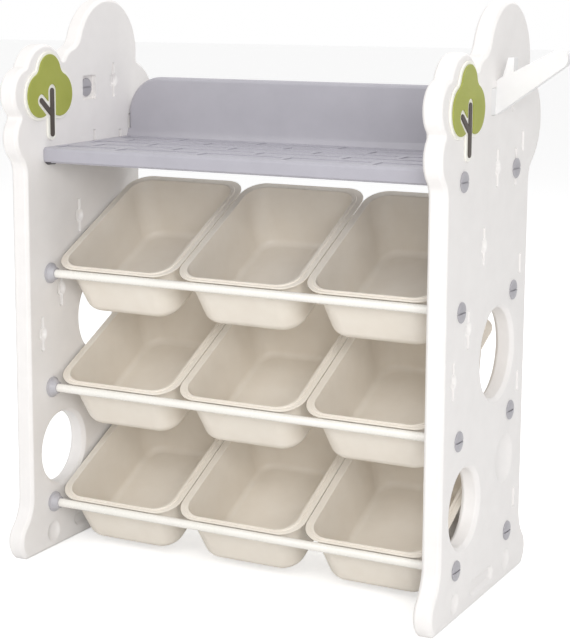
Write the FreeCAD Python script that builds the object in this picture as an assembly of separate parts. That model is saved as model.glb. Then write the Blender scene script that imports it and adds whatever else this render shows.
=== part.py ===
import FreeCAD, Part

import math
import os

# Toy storage organizer with nine tilted bins.
# Two scalloped side panels carry eight steel tubes.  Three rows of three tubs sit
# on pairs of tubes, and a slotted shelf with an upright back board sits on the top pair.
# Millimetres.  While it is modelled, X = 0 is midway between the panels,
# Y = 0 lies near their straight front edge (+Y runs to the back) and Z = 0 is the floor.

Vector = FreeCAD.Vector
X_AXIS = Vector(1, 0, 0)
Y_AXIS = Vector(0, 1, 0)

# ---------------------------------------------------------------- driving dimensions
# carcass
OVERALL_WIDTH = 703.0          # outer face to outer face of the panels
PANEL_THICKNESS = 28.9
PANEL_FRONT_Y = -3.4           # straight front edge
PANEL_REAR_Y = 318.0           # straight rear edge
PANEL_BODY_TOP = 742.0         # top of the plain slab that the lobes grow from
PANEL_EDGE_BEVEL = 4.5         # eased edge all round each face
SWEEP_RADIUS = 34.0            # where a lobe runs into a straight edge
FOOT_SWEEP_RADIUS = 60.0       # where a foot runs into a straight edge
LOBE_JOINS = (4.5, 4.5, 5.0, 30.0, 8.0)   # between each lobe and the next
FOOT_RADIUS = 34.5
FOOT_CENTRE_Z = 28.0
FOOT_OVERHANG = 29.0           # how far each foot stands out past the straight edge

# lobes of the crown-like top: (centre y, centre z, radius)
LOBES = (
    (16.0, 652.0, 42.5),
    (9.0, 717.5, 40.2),
    (52.0, 737.5, 53.0),
    (134.0, 748.0, 36.0),
    (226.5, 771.0, 86.0),
    (294.0, 683.0, 73.5),
)

# openings and dished recesses of the panels
UPPER_HOLE = (201.0, 356.0, 65.5)
LOWER_HOLE = (85.0, 157.0, 56.0)
HOLE_EDGE_BEVEL = 5.5
ROUND_DISH = (240.0, 191.0, 36.5)
ROUND_DISH_DEPTH = 8.0
FOOT_DISHES = ((52.0, 27.0), (258.0, 30.0))
FOOT_DISH_RADIUS = 16.0
FOOT_DISH_DEPTH = 5.0
CAPSULE_START_Y = 110.0
CAPSULE_END_Y = 205.0
CAPSULE_CENTRE_Z = 28.5
CAPSULE_HALF_HEIGHT = 12.5
CAPSULE_DEPTH = 4.0
LEAVES = ((240.0, 728.0), (183.0, 625.0), (136.0, 520.0), (83.0, 411.0), (31.0, 348.0))
SMALL_LEAVES = ((287.0, 655.0), (287.0, 475.0), (289.0, 298.0), (286.0, 120.0))
LEAF_LENGTH = 50.0
LEAF_WIDTH = 7.5
LEAF_BULGE = 23.0
LEAF_DEPTH = 3.5
SMALL_LEAF_LENGTH = 26.0

# tubes, their collars and screws
TUBE_DIAMETER = 13.0
FRONT_TUBE_Y = 54.0
REAR_TUBE_Y = 259.0
ROW_Z = (440.0, 260.0, 75.0)   # upper, middle and lower pair
SHELF_TUBE_Z = 618.0
COLLAR_RADIUS = 16.0
COLLAR_TIP_RADIUS = 9.2
COLLAR_LENGTH = 12.0           # the tube butts against the collar's tip
SHELF_COLLAR_RADIUS = 10.5
CAP_RADIUS = 14.5
CAP_HEIGHT = 3.6

# shelf
SHELF_FRONT_Y = 41.5
SHELF_REAR_Y = 301.0
SHELF_TOP_Z = 634.8
SHELF_HEIGHT = 23.3
SHELF_WALL = 3.0
SHELF_PLATE = 3.4
SHELF_EDGE_BEVEL = 3.0
SHELF_SIDE_GAP = 0.3           # to each panel
SLOT_ROW_PITCH = 46.0
SLOT_PITCH = 140.0
SLOT_LENGTH = 128.0
SLOT_WIDTH = 34.0
SLOT_DEPTH = 1.4
SLOT_FIRST_Y = 72.0
SLOT_END_MARGIN = 12.0         # from the last slot of a row to the shelf's end
SLOT_SHORTEST = 44.0           # a shorter leftover is not sunk
RIB_THICKNESS = 2.4
RIB_HEIGHT = 15.0
RIB_PITCH_X = 160.0
TUBE_SADDLE_CLEARANCE = 0.3

# back board
BOARD_FRONT_Y = 283.6
BOARD_THICKNESS = 14.0
BOARD_TOP_Z = 731.0
BOARD_CORNER_RADIUS = 60.0
BOARD_EDGE_BEVEL = 3.5
BOARD_FOOT_FLARE = 5.0
BOARD_FOOT_HEIGHT = 12.0
BOARD_TAB_WIDTH = 70.0
BOARD_TAB_RISE = 2.0           # tab's foot above the shelf's lower edge
BOARD_TAB_THICKNESS = 7.0
BOARD_TAB_CLEARANCE = 0.3
BOARD_TAB_X = (-230.0, 0.0, 230.0)

# bins, in their own tilted frame: s runs up the slope from the front tube's centre,
# h is square to the rim, measured from the same centre
BIN_TILT = 25.8
BIN_GAP = 1.6                  # between two neighbours
BIN_END_GAP = 5.4              # from the outer bins to the panels
BIN_RIM_FRONT = 3.0
BIN_RIM_REAR = 276.0
BIN_RIM_CORNER = 36.0
BIN_RIM_THICKNESS = 4.6
BIN_SIDE_LIP = 13.4            # rim's outer edge to the opening, at the sides
BIN_REAR_LIP = 15.6
BIN_FRONT_LIP = 6.4
BIN_WALL = 2.6
BIN_CORNER = 30.0              # upright corners of the tub, inside
BIN_SIDE_DRAFT = 12.5          # how far each wall leans in by the floor
BIN_FRONT_DRAFT = 7.0
BIN_REAR_DRAFT = 24.0
BIN_FLOOR_ROUND = 14.0         # wall to floor, inside
BIN_SEAT_GAP = 0.3             # over the tubes that the bin rests on

# hanger arm on the right panel
ARM_RECESS_CENTRE = (170.0, 719.0)
ARM_RECESS_SIZE = 38.0
ARM_RECESS_ROUND = 4.0
ARM_RECESS_DEPTH = 7.0
ARM_PLUG_GAP = 0.4
ARM_THICKNESS = 17.0
ARM_OFFSET_Y = 8.0             # blade's middle behind the recess's middle
ARM_ROOT_BOTTOM_Z = 700.0
ARM_ROOT_TOP_Z = 748.0
ARM_REACH = 101.0
ARM_TIP_CENTRE_Z = 779.0
ARM_TIP_RADIUS = 13.0
ARM_FINGER_FOOT = 9.0
ARM_FINGER_TIP = 16.0
ARM_FINGER_WIDTH = 8.5
ARM_FINGER_RISE = 31.5         # finger's top above the top of the root
ARM_CROOK_RISE = 6.0           # finger's foot above the top of the root
ARM_UPPER_FOOT = (24.0, 12.0)  # outer foot of the finger: out from the panel, above the root

# tree badge
TREE_CENTRE_Y = 56.5
TREE_DISCS = ((0.0, 746.5, 28.5), (-25.5, 713.5, 33.0), (25.5, 713.5, 33.0))
TREE_JOIN_RADIUS = 16.0        # where the top lobe runs into the side lobes
TREE_BORDER = 4.5
TREE_BACK_THICKNESS = 3.0
TREE_FACE_THICKNESS = 2.0
TRUNK_OFFSET_Y = 5.0
TRUNK_WIDTH = 10.0
TRUNK_BOTTOM_Z = 650.0
TRUNK_TOP_Z = 724.0
BRANCH_WIDTH = 8.5
BRANCH_FOOT_Z = 683.0
BRANCH_TIP = (-23.0, 706.0)
TRUNK_BORDER = 5.5

# ---------------------------------------------------------------- derived values
HALF_WIDTH = OVERALL_WIDTH / 2.0
INNER_FACE = HALF_WIDTH - PANEL_THICKNESS
TUBE_RADIUS = TUBE_DIAMETER / 2.0
TILT = math.radians(BIN_TILT)
SHELF_BOTTOM_Z = SHELF_TOP_Z - SHELF_HEIGHT
TUBE_SPACING = REAR_TUBE_Y - FRONT_TUBE_Y
BIN_WIDTH = 2.0 * (INNER_FACE - BIN_END_GAP - BIN_GAP) / 3.0
BIN_PITCH = BIN_WIDTH + BIN_GAP
BIN_RIM_BASE = TUBE_RADIUS + BIN_SEAT_GAP
BIN_BOTTOM = TUBE_RADIUS + BIN_SEAT_GAP - TUBE_SPACING * math.sin(TILT)
ROW_NAMES = ("upper", "middle", "lower")
COLUMN_NAMES = ("left", "centre", "right")
SIDES = (("left", -1.0), ("right", 1.0))


# ---------------------------------------------------------------- outline helpers
def rounded_rectangle(x0, x1, y0, y1, radius, z):
    """Closed wire at height z with four arcs of one radius."""
    k = radius * (1.0 - math.sqrt(0.5))
    a = [
        Vector(x0 + radius, y0, z), Vector(x1 - radius, y0, z),
        Vector(x1, y0 + radius, z), Vector(x1, y1 - radius, z),
        Vector(x1 - radius, y1, z), Vector(x0 + radius, y1, z),
        Vector(x0, y1 - radius, z), Vector(x0, y0 + radius, z),
    ]
    m = [
        Vector(x1 - k, y0 + k, z), Vector(x1 - k, y1 - k, z),
        Vector(x0 + k, y1 - k, z), Vector(x0 + k, y0 + k, z),
    ]
    edges = []
    for i in range(4):
        start, end = a[2 * i], a[2 * i + 1]
        edges.append(Part.LineSegment(start, end).toShape())
        edges.append(Part.Arc(end, m[i], a[(2 * i + 2) % 8]).toShape())
    return Part.Wire(edges)


def side_polygon(points, x, length):
    """Solid with a (y, z) polygon for its section, running along X."""
    corners = [Vector(x, y, z) for y, z in points]
    face = Part.Face(Part.makePolygon(corners + corners[:1]))
    return face.extrude(Vector(length, 0, 0))


def side_disc(y, z, radius, x, length):
    """Cylinder along X through (y, z)."""
    return Part.makeCylinder(radius, length, Vector(x, y, z), X_AXIS)


def side_bar(start, end, width, x, length):
    """Round-ended bar between two (y, z) points, running along X for its thickness."""
    dy, dz = end[0] - start[0], end[1] - start[1]
    run = math.hypot(dy, dz)
    ny, nz = -dz / run * width / 2.0, dy / run * width / 2.0
    points = [
        (start[0] + ny, start[1] + nz), (end[0] + ny, end[1] + nz),
        (end[0] - ny, end[1] - nz), (start[0] - ny, start[1] - nz),
    ]
    bar = side_polygon(points, x, length)
    ends = [side_disc(y, z, width / 2.0, x, length) for y, z in (start, end)]
    return bar.fuse(ends).removeSplitter()


def edges_along_x(solid):
    """Straight edges of a solid that run along X."""
    found = []
    for edge in solid.Edges:
        if edge.Curve.TypeId != "Part::GeomLine":
            continue
        run = edge.Vertexes[0].Point - edge.Vertexes[-1].Point
        if abs(run.x) > 1.0 and abs(run.y) < 1e-6 and abs(run.z) < 1e-6:
            found.append(edge)
    return found


def edges_on_plane_x(solid, x):
    """Edges of a solid that lie wholly in the plane X = x."""
    found = []
    for edge in solid.Edges:
        box = edge.BoundBox
        if abs(box.XMin - x) < 1e-3 and abs(box.XMax - x) < 1e-3:
            found.append(edge)
    return found


# ---------------------------------------------------------------- side panels
def circles_meet(a, b):
    """Outer crossing point of two (y, z, r) circles, the one further from the panel's middle."""
    dy, dz = b[0] - a[0], b[1] - a[1]
    apart = math.hypot(dy, dz)
    along = (a[2] ** 2 - b[2] ** 2 + apart ** 2) / (2.0 * apart)
    out = math.sqrt(max(a[2] ** 2 - along ** 2, 0.0))
    uy, uz = dy / apart, dz / apart
    middle = ((PANEL_FRONT_Y + PANEL_REAR_Y) / 2.0, PANEL_BODY_TOP / 2.0)
    both = []
    for sign in (-1.0, 1.0):
        y = a[0] + uy * along - sign * uz * out
        z = a[1] + uz * along + sign * uy * out
        both.append((math.hypot(y - middle[0], z - middle[1]), y, z))
    return max(both)[1:]


def nearest_edge(solid, y, z):
    """Edge along X that passes closest to (y, z)."""
    def gap(edge):
        point = edge.Vertexes[0].Point
        return math.hypot(point.y - y, point.z - z)
    return min(edges_along_x(solid), key=gap)


def panel_outline(x):
    """Panel slab with its lobes and feet, every concave corner swept."""
    slab = side_polygon(
        [(PANEL_FRONT_Y, 0), (PANEL_REAR_Y, 0), (PANEL_REAR_Y, LOBES[5][1]), (PANEL_FRONT_Y, LOBES[0][1])],
        x, PANEL_THICKNESS)
    front, rear = LOBES[1][0], LOBES[5][0]
    neck = side_polygon([(front, LOBES[0][1]), (rear, LOBES[0][1]), (rear, PANEL_BODY_TOP),
                         (front, PANEL_BODY_TOP)], x, PANEL_THICKNESS)
    foot_y = FOOT_RADIUS - FOOT_OVERHANG
    feet = ((PANEL_FRONT_Y + foot_y, FOOT_CENTRE_Z, FOOT_RADIUS),
            (PANEL_REAR_Y - foot_y, FOOT_CENTRE_Z, FOOT_RADIUS))
    discs = [side_disc(y, z, r, x, PANEL_THICKNESS) for y, z, r in LOBES + feet]
    body = slab.fuse([neck] + discs).removeSplitter()
    below = 2.0 * FOOT_RADIUS
    body = body.cut(Part.makeBox(2.0 * PANEL_THICKNESS, 4.0 * PANEL_REAR_Y, below,
                                 Vector(x - PANEL_THICKNESS / 2.0, -PANEL_REAR_Y, -below)))
    joins = [circles_meet(LOBES[i], LOBES[i + 1]) + (r,) for i, r in enumerate(LOBE_JOINS)]
    joins.append((PANEL_FRONT_Y, LOBES[0][1] - LOBES[0][2], SWEEP_RADIUS))
    joins.append((PANEL_REAR_Y, LOBES[5][1] - LOBES[5][2], SWEEP_RADIUS))
    joins.append((PANEL_FRONT_Y, FOOT_CENTRE_Z + FOOT_RADIUS, FOOT_SWEEP_RADIUS))
    joins.append((PANEL_REAR_Y, FOOT_CENTRE_Z + FOOT_RADIUS, FOOT_SWEEP_RADIUS))
    for y, z, radius in joins:
        body = body.makeFillet(radius, [nearest_edge(body, y, z)])
    return body


def dish(x, y, z, radius, depth):
    """Ball whose cap of the given radius and depth sinks into the face at x."""
    ball = (radius * radius + depth * depth) / (2.0 * depth)
    return Part.makeSphere(ball, Vector(x + ball - depth, y, z))


def slit(x, y, z, length):
    """Upright slit, widest at its middle, sunk into the face at x."""
    half, width = length / 2.0, LEAF_WIDTH / 2.0
    return side_polygon([(y, z - half), (y + width, z), (y, z + half), (y - width, z)],
                        x - LEAF_DEPTH, 2.0 * LEAF_DEPTH)


def leaf(x, y, z):
    """Upright pointed recess with an eight-sided bulge at its middle, sunk into the face at x."""
    half, width, bulge = LEAF_LENGTH / 2.0, LEAF_WIDTH / 2.0, LEAF_BULGE / 2.0
    quarter = [(0.0, half), (width, bulge), (bulge, width)]
    right = quarter + [(dy, -dz) for dy, dz in quarter[::-1]]
    around = right + [(-dy, dz) for dy, dz in right[-2:0:-1]]
    return side_polygon([(y + dy, z + dz) for dy, dz in around], x - LEAF_DEPTH, 2.0 * LEAF_DEPTH)


def square_recess(x, depth):
    """Rounded square pocket for the hanger arm's plug, sunk into the face at x."""
    y, z = ARM_RECESS_CENTRE
    return arm_square(y, z, ARM_RECESS_SIZE, x - depth, 2.0 * depth)


def arm_square(y, z, size, x, length):
    """Rounded square bar along X through (y, z)."""
    half = size / 2.0
    block = side_polygon([(y - half, z - half), (y + half, z - half),
                          (y + half, z + half), (y - half, z + half)], x, length)
    return block.makeFillet(ARM_RECESS_ROUND, edges_along_x(block))


def side_panel(x):
    """One moulded panel, x being its -X face; the +X face carries the recesses."""
    body = panel_outline(x)
    face = x + PANEL_THICKNESS
    body = body.makeChamfer(PANEL_EDGE_BEVEL, edges_on_plane_x(body, x) + edges_on_plane_x(body, face))
    for y, z, r in (UPPER_HOLE, LOWER_HOLE):
        body = body.cut(side_disc(y, z, r, x - PANEL_THICKNESS / 2.0, 2.0 * PANEL_THICKNESS))
    rims = [e for e in edges_on_plane_x(body, x) + edges_on_plane_x(body, face)
            if e.Curve.TypeId == "Part::GeomCircle" and e.isClosed()]
    body = body.makeChamfer(HOLE_EDGE_BEVEL, rims)
    cuts = [dish(face, ROUND_DISH[0], ROUND_DISH[1], ROUND_DISH[2], ROUND_DISH_DEPTH)]
    cuts += [dish(face, y, z, FOOT_DISH_RADIUS, FOOT_DISH_DEPTH) for y, z in FOOT_DISHES]
    cuts.append(side_bar((CAPSULE_START_Y + CAPSULE_HALF_HEIGHT, CAPSULE_CENTRE_Z),
                         (CAPSULE_END_Y - CAPSULE_HALF_HEIGHT, CAPSULE_CENTRE_Z),
                         2.0 * CAPSULE_HALF_HEIGHT, face - CAPSULE_DEPTH, 2.0 * CAPSULE_DEPTH))
    cuts += [leaf(face, y, z) for y, z in LEAVES]
    cuts += [slit(face, y, z, SMALL_LEAF_LENGTH) for y, z in SMALL_LEAVES]
    cuts.append(square_recess(face, ARM_RECESS_DEPTH))
    return body.cut(cuts)


def tube_places():
    """Every (y, z) where a tube meets the panels."""
    rows = [(y, z) for z in ROW_Z for y in (FRONT_TUBE_Y, REAR_TUBE_Y)]
    return rows + [(FRONT_TUBE_Y, SHELF_TUBE_Z), (REAR_TUBE_Y, SHELF_TUBE_Z)]


# ---------------------------------------------------------------- tubes and fixings
def tube(y, z):
    """Round tube that butts against a collar at each end."""
    reach = INNER_FACE - COLLAR_LENGTH
    return side_disc(y, z, TUBE_RADIUS, -reach, 2.0 * reach)


def collar(y, z, side, radius):
    """Tapered end collar of a tube, its wide end flat on the panel's inner face."""
    return Part.makeCone(radius, COLLAR_TIP_RADIUS, COLLAR_LENGTH,
                         Vector(side * INNER_FACE, y, z), X_AXIS * -side)


def side_collars(side):
    """The eight collars of one panel."""
    group = []
    for y, z in tube_places():
        radius = SHELF_COLLAR_RADIUS if z == SHELF_TUBE_Z else COLLAR_RADIUS
        group.append(collar(y, z, side, radius))
    return Part.makeCompound(group)


def screw_cap(y, z, face_x, side):
    """Low round cap over a screw, its underside on the face at face_x."""
    return Part.makeCylinder(CAP_RADIUS, CAP_HEIGHT, Vector(face_x, y, z), X_AXIS * side)


def side_caps(side):
    """The eight screw caps on one panel's outer face."""
    return Part.makeCompound([screw_cap(y, z, side * HALF_WIDTH, side) for y, z in tube_places()])


def recess_caps():
    """Caps of the hanger arm's two fixing places, one on each panel's inner face."""
    y, z = ARM_RECESS_CENTRE
    return Part.makeCompound([screw_cap(y, z, INNER_FACE, -1.0),
                              screw_cap(y, z, -INNER_FACE - ARM_RECESS_DEPTH, 1.0)])


# ---------------------------------------------------------------- shelf
def shelf_slots():
    """Shallow sunk panels of the shelf's top, in rows laid like bricks."""
    x_limit = INNER_FACE - SLOT_END_MARGIN
    y_limit = BOARD_FRONT_Y - BOARD_FOOT_FLARE - SLOT_WIDTH / 2.0
    slots = []
    for row in range(int((y_limit - SLOT_FIRST_Y) / SLOT_ROW_PITCH) + 1):
        y = SLOT_FIRST_Y + row * SLOT_ROW_PITCH
        reach = int(x_limit / SLOT_PITCH) + 1
        for step in range(-reach, reach + 1):
            x = (step + (row % 2) / 2.0) * SLOT_PITCH
            start = max(x - SLOT_LENGTH / 2.0, -x_limit)
            end = min(x + SLOT_LENGTH / 2.0, x_limit)
            if end - start > SLOT_SHORTEST:
                slots.append(Part.makeBox(end - start, SLOT_WIDTH, 2.0 * SLOT_DEPTH,
                                          Vector(start, y - SLOT_WIDTH / 2.0, SHELF_TOP_Z - SLOT_DEPTH)))
    return slots


def saddle(y, radius, x, length):
    """Round-bottomed notch, open downwards, that straddles a tube or a collar."""
    top = side_disc(y, SHELF_TUBE_Z, radius, x, length)
    drop = SHELF_HEIGHT
    slot = Part.makeBox(length, 2.0 * radius, drop, Vector(x, y - radius, SHELF_TUBE_Z - drop))
    return top.fuse(slot)


def shelf_tray():
    """Open-bottomed tray with ribs that sit over the two shelf tubes."""
    half = INNER_FACE - SHELF_SIDE_GAP
    depth = SHELF_REAR_Y - SHELF_FRONT_Y
    body = Part.makeBox(2.0 * half, depth, SHELF_HEIGHT, Vector(-half, SHELF_FRONT_Y, SHELF_BOTTOM_Z))
    long_edges = [e for e in edges_along_x(body) if e.Vertexes[0].Point.y < SHELF_FRONT_Y + 1.0]
    body = body.makeChamfer(SHELF_EDGE_BEVEL, long_edges)
    room = SHELF_HEIGHT - SHELF_PLATE
    hollow = Part.makeBox(2.0 * (half - SHELF_WALL), depth - 2.0 * SHELF_WALL, room,
                          Vector(-half + SHELF_WALL, SHELF_FRONT_Y + SHELF_WALL, SHELF_BOTTOM_Z))
    body = body.cut(hollow)
    under = SHELF_TOP_Z - SHELF_PLATE
    ribs = []
    count = int(half / RIB_PITCH_X)
    for i in range(-count, count + 1):
        ribs.append(Part.makeBox(RIB_THICKNESS, depth - 2.0 * SHELF_WALL, RIB_HEIGHT,
                                 Vector(i * RIB_PITCH_X - RIB_THICKNESS / 2.0, SHELF_FRONT_Y + SHELF_WALL,
                                        under - RIB_HEIGHT)))
    middle = (SHELF_FRONT_Y + SHELF_REAR_Y) / 2.0
    ribs.append(Part.makeBox(2.0 * (half - SHELF_WALL), RIB_THICKNESS, RIB_HEIGHT,
                             Vector(-half + SHELF_WALL, middle - RIB_THICKNESS / 2.0, under - RIB_HEIGHT)))
    body = body.fuse(ribs).removeSplitter()
    cuts = shelf_slots()
    collar_room = SHELF_COLLAR_RADIUS + TUBE_SADDLE_CLEARANCE
    reach = COLLAR_LENGTH + TUBE_SADDLE_CLEARANCE
    for y in (FRONT_TUBE_Y, REAR_TUBE_Y):
        cuts.append(saddle(y, TUBE_RADIUS + TUBE_SADDLE_CLEARANCE, -INNER_FACE, 2.0 * INNER_FACE))
        for x in (-INNER_FACE, INNER_FACE - reach):
            cuts.append(saddle(y, collar_room, x, reach))
    cuts += [tab(x, BOARD_TAB_CLEARANCE) for x in BOARD_TAB_X]
    return body.cut(cuts)


def tab(x, clearance):
    """Tab under the back board that plugs through the shelf's rear, grown by a clearance."""
    width = BOARD_TAB_WIDTH + 2.0 * clearance
    thickness = BOARD_TAB_THICKNESS + 2.0 * clearance
    y = BOARD_FRONT_Y + BOARD_THICKNESS / 2.0 - thickness / 2.0
    low = SHELF_BOTTOM_Z + BOARD_TAB_RISE
    return Part.makeBox(width, thickness, SHELF_TOP_Z - low, Vector(x - width / 2.0, y, low))


def back_board():
    """Upright board with big top corners and a flared foot, tabbed into the shelf."""
    half = INNER_FACE - SHELF_SIDE_GAP
    y0, y1 = BOARD_FRONT_Y, BOARD_FRONT_Y + BOARD_THICKNESS
    plate = Part.makeBox(2.0 * half, y1 - y0, BOARD_TOP_Z - SHELF_TOP_Z, Vector(-half, y0, SHELF_TOP_Z))
    corners = [e for e in plate.Edges if abs(e.BoundBox.YLength - (y1 - y0)) < 1e-3
               and e.BoundBox.XLength < 1e-3 and e.BoundBox.ZMin > BOARD_TOP_Z - 1.0]
    plate = plate.makeFillet(BOARD_CORNER_RADIUS, corners)
    rolled = [e for e in plate.Edges if e.BoundBox.YLength < 1e-3 and e.BoundBox.ZMax > SHELF_TOP_Z + 1.0]
    plate = plate.makeChamfer(BOARD_EDGE_BEVEL, rolled)
    inside = y0 + BOARD_EDGE_BEVEL
    foot_top = SHELF_TOP_Z + BOARD_FOOT_HEIGHT
    section = [(y0 - BOARD_FOOT_FLARE, SHELF_TOP_Z), (inside, SHELF_TOP_Z), (inside, foot_top), (y0, foot_top)]
    foot = side_polygon(section, -half, 2.0 * half)
    return plate.fuse([foot] + [tab(x, 0.0) for x in BOARD_TAB_X]).removeSplitter()


# ---------------------------------------------------------------- bins
def tapered_block(x_top, front, rear, top, floor):
    """Flat-faced block that narrows from its top rectangle to its floor by the three drafts."""
    upper = [(-x_top, front), (x_top, front), (x_top, rear), (-x_top, rear)]
    x_low, front_low, rear_low = x_top - BIN_SIDE_DRAFT, front + BIN_FRONT_DRAFT, rear - BIN_REAR_DRAFT
    lower = [(-x_low, front_low), (x_low, front_low), (x_low, rear_low), (-x_low, rear_low)]
    high = [Vector(x, y, top) for x, y in upper]
    low = [Vector(x, y, floor) for x, y in lower]
    faces = [Part.Face(Part.makePolygon(high + high[:1])), Part.Face(Part.makePolygon(low[::-1] + low[-1:]))]
    for i in range(4):
        j = (i + 1) % 4
        faces.append(Part.Face(Part.makePolygon([low[i], low[j], high[j], high[i], low[i]])))
    return Part.makeSolid(Part.makeShell(faces))


def trough(corners, direction, length, radius):
    """Prism of a four-sided section with both lower edges rounded, the two lowest corners first."""
    body = Part.Face(Part.makePolygon(corners + corners[:1])).extrude(direction * length)
    rounded = []
    for start in corners[:2]:
        middle = start + direction * (length / 2.0)
        rounded.append(min(body.Edges, key=lambda e: e.CenterOfMass.distanceToPoint(middle)))
    return body.makeFillet(radius, rounded)


def tub(inset, floor, top):
    """Tapered tub form, upright corners and floor edges rounded; inset makes the hollow from the skin."""
    x_top = BIN_WIDTH / 2.0 - BIN_SIDE_LIP + BIN_WALL - inset
    front = BIN_RIM_FRONT + BIN_FRONT_LIP - BIN_WALL + inset
    rear = BIN_RIM_REAR - BIN_REAR_LIP + BIN_WALL - inset
    corner = BIN_CORNER + BIN_WALL - inset
    floor_round = BIN_FLOOR_ROUND + BIN_WALL - inset
    block = tapered_block(x_top, front, rear, top, floor)
    upright = [e for e in block.Edges if e.BoundBox.ZLength > 1.0]
    block = block.makeFillet(corner, upright)
    x_low, front_low, rear_low = x_top - BIN_SIDE_DRAFT, front + BIN_FRONT_DRAFT, rear - BIN_REAR_DRAFT
    past = front - corner
    lengthways = trough([Vector(-x_low, past, floor), Vector(x_low, past, floor), Vector(x_top, past, top),
                         Vector(-x_top, past, top)], Y_AXIS, rear - front + 2.0 * corner, floor_round)
    past = -x_top - corner
    crossways = trough([Vector(past, front_low, floor), Vector(past, rear_low, floor), Vector(past, rear, top),
                        Vector(past, front, top)], X_AXIS, 2.0 * (x_top + corner), floor_round)
    return block.common(lengthways.common(crossways)).removeSplitter()


def bin_solid():
    """One tub in its own level frame: tapered shell and flat rim."""
    top = BIN_RIM_BASE + BIN_RIM_THICKNESS
    outer = tub(0.0, BIN_BOTTOM, top)
    half = BIN_WIDTH / 2.0
    outline = rounded_rectangle(-half, half, BIN_RIM_FRONT, BIN_RIM_REAR, BIN_RIM_CORNER, BIN_RIM_BASE)
    rim = Part.Face(outline).extrude(Vector(0, 0, BIN_RIM_THICKNESS))
    return outer.fuse(rim).removeSplitter().cut(tub(BIN_WALL, BIN_BOTTOM + BIN_WALL, top))


def placed_bin(solid, column, row_z):
    """Copy of the level tub, tilted and set on its two tubes."""
    copy = solid.copy()
    copy.rotate(Vector(0, 0, 0), X_AXIS, BIN_TILT)
    copy.translate(Vector(column * BIN_PITCH, FRONT_TUBE_Y, row_z))
    return copy


# ---------------------------------------------------------------- hanger arm
def touch_point(start, centre, radius, turn):
    """Point where a line from start touches a circle, on the side given by turn (+1 or -1)."""
    dx, dz = centre[0] - start[0], centre[1] - start[1]
    run = math.hypot(dx, dz)
    angle = math.atan2(dz, dx) + turn * (math.pi / 2.0 + math.asin(radius / run))
    return centre[0] + radius * math.cos(angle), centre[1] + radius * math.sin(angle)


def hanger_arm():
    """Upswept arm with an upright finger, plugged into the right panel's square recess."""
    y, z = ARM_RECESS_CENTRE
    x0 = HALF_WIDTH
    tip = (x0 + ARM_REACH - ARM_TIP_RADIUS, ARM_TIP_CENTRE_Z)
    root = (x0, ARM_ROOT_BOTTOM_Z)
    foot = (x0 + ARM_UPPER_FOOT[0], ARM_ROOT_TOP_Z + ARM_UPPER_FOOT[1])
    finger_top = ARM_ROOT_TOP_Z + ARM_FINGER_RISE
    finger_in = (x0 + ARM_FINGER_TIP, finger_top)
    finger_out = (x0 + ARM_FINGER_TIP + ARM_FINGER_WIDTH, finger_top)
    crook = (x0 + ARM_FINGER_FOOT, ARM_ROOT_TOP_Z + ARM_CROOK_RISE)
    points = [root, touch_point(root, tip, ARM_TIP_RADIUS, -1.0), touch_point(foot, tip, ARM_TIP_RADIUS, 1.0),
              foot, finger_out, finger_in, crook, (x0, ARM_ROOT_TOP_Z)]
    y0 = y + ARM_OFFSET_Y - ARM_THICKNESS / 2.0
    corners = [Vector(px, y0, pz) for px, pz in points]
    blade = Part.Face(Part.makePolygon(corners + corners[:1])).extrude(Vector(0, ARM_THICKNESS, 0))
    end = Part.makeCylinder(ARM_TIP_RADIUS, ARM_THICKNESS, Vector(tip[0], y0, tip[1]), Y_AXIS)
    depth = ARM_RECESS_DEPTH - ARM_PLUG_GAP
    plug = arm_square(y, z, ARM_RECESS_SIZE - 2.0 * ARM_PLUG_GAP, x0 - depth, depth)
    return blade.fuse([end, plug]).removeSplitter()


# ---------------------------------------------------------------- tree badge
def tree_trunk(border, x, length):
    """Trunk with one branch, grown all round by a border."""
    y = TREE_CENTRE_Y + TRUNK_OFFSET_Y
    trunk = side_bar((y, TRUNK_BOTTOM_Z + TRUNK_WIDTH / 2.0), (y, TRUNK_TOP_Z - TRUNK_WIDTH / 2.0),
                     TRUNK_WIDTH + 2.0 * border, x, length)
    branch = side_bar((y, BRANCH_FOOT_Z), (TREE_CENTRE_Y + BRANCH_TIP[0], BRANCH_TIP[1]),
                      BRANCH_WIDTH + 2.0 * border, x, length)
    return trunk.fuse(branch).removeSplitter()


def tree_crown(border, x, length):
    """Three round lobes, grown all round by a border."""
    discs = [side_disc(TREE_CENTRE_Y + y, z, r + border, x, length) for y, z, r in TREE_DISCS]
    crown = discs[0].fuse(discs[1:]).removeSplitter()
    joins = [e for e in edges_along_x(crown) if abs(e.Vertexes[0].Point.y - TREE_CENTRE_Y) > TREE_JOIN_RADIUS / 2.0]
    return crown.makeFillet(TREE_JOIN_RADIUS - border, joins)


def tree_badges():
    """Backings, crowns and trunks of the two badges, each lying on its panel's +X face."""
    backings, crowns, trunks = [], [], []
    for face in (-INNER_FACE, HALF_WIDTH):
        front = face + TREE_BACK_THICKNESS
        backing = tree_crown(TREE_BORDER, face, TREE_BACK_THICKNESS)
        backings.append(backing.fuse(tree_trunk(TRUNK_BORDER, face, TREE_BACK_THICKNESS)).removeSplitter())
        crown = tree_crown(0.0, front, TREE_FACE_THICKNESS)
        crowns.append(crown.cut(tree_trunk(TRUNK_BORDER, face, 2.0 * TREE_BACK_THICKNESS)))
        trunks.append(tree_trunk(0.0, front, TREE_FACE_THICKNESS))
    return [Part.makeCompound(group) for group in (backings, crowns, trunks)]


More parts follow.
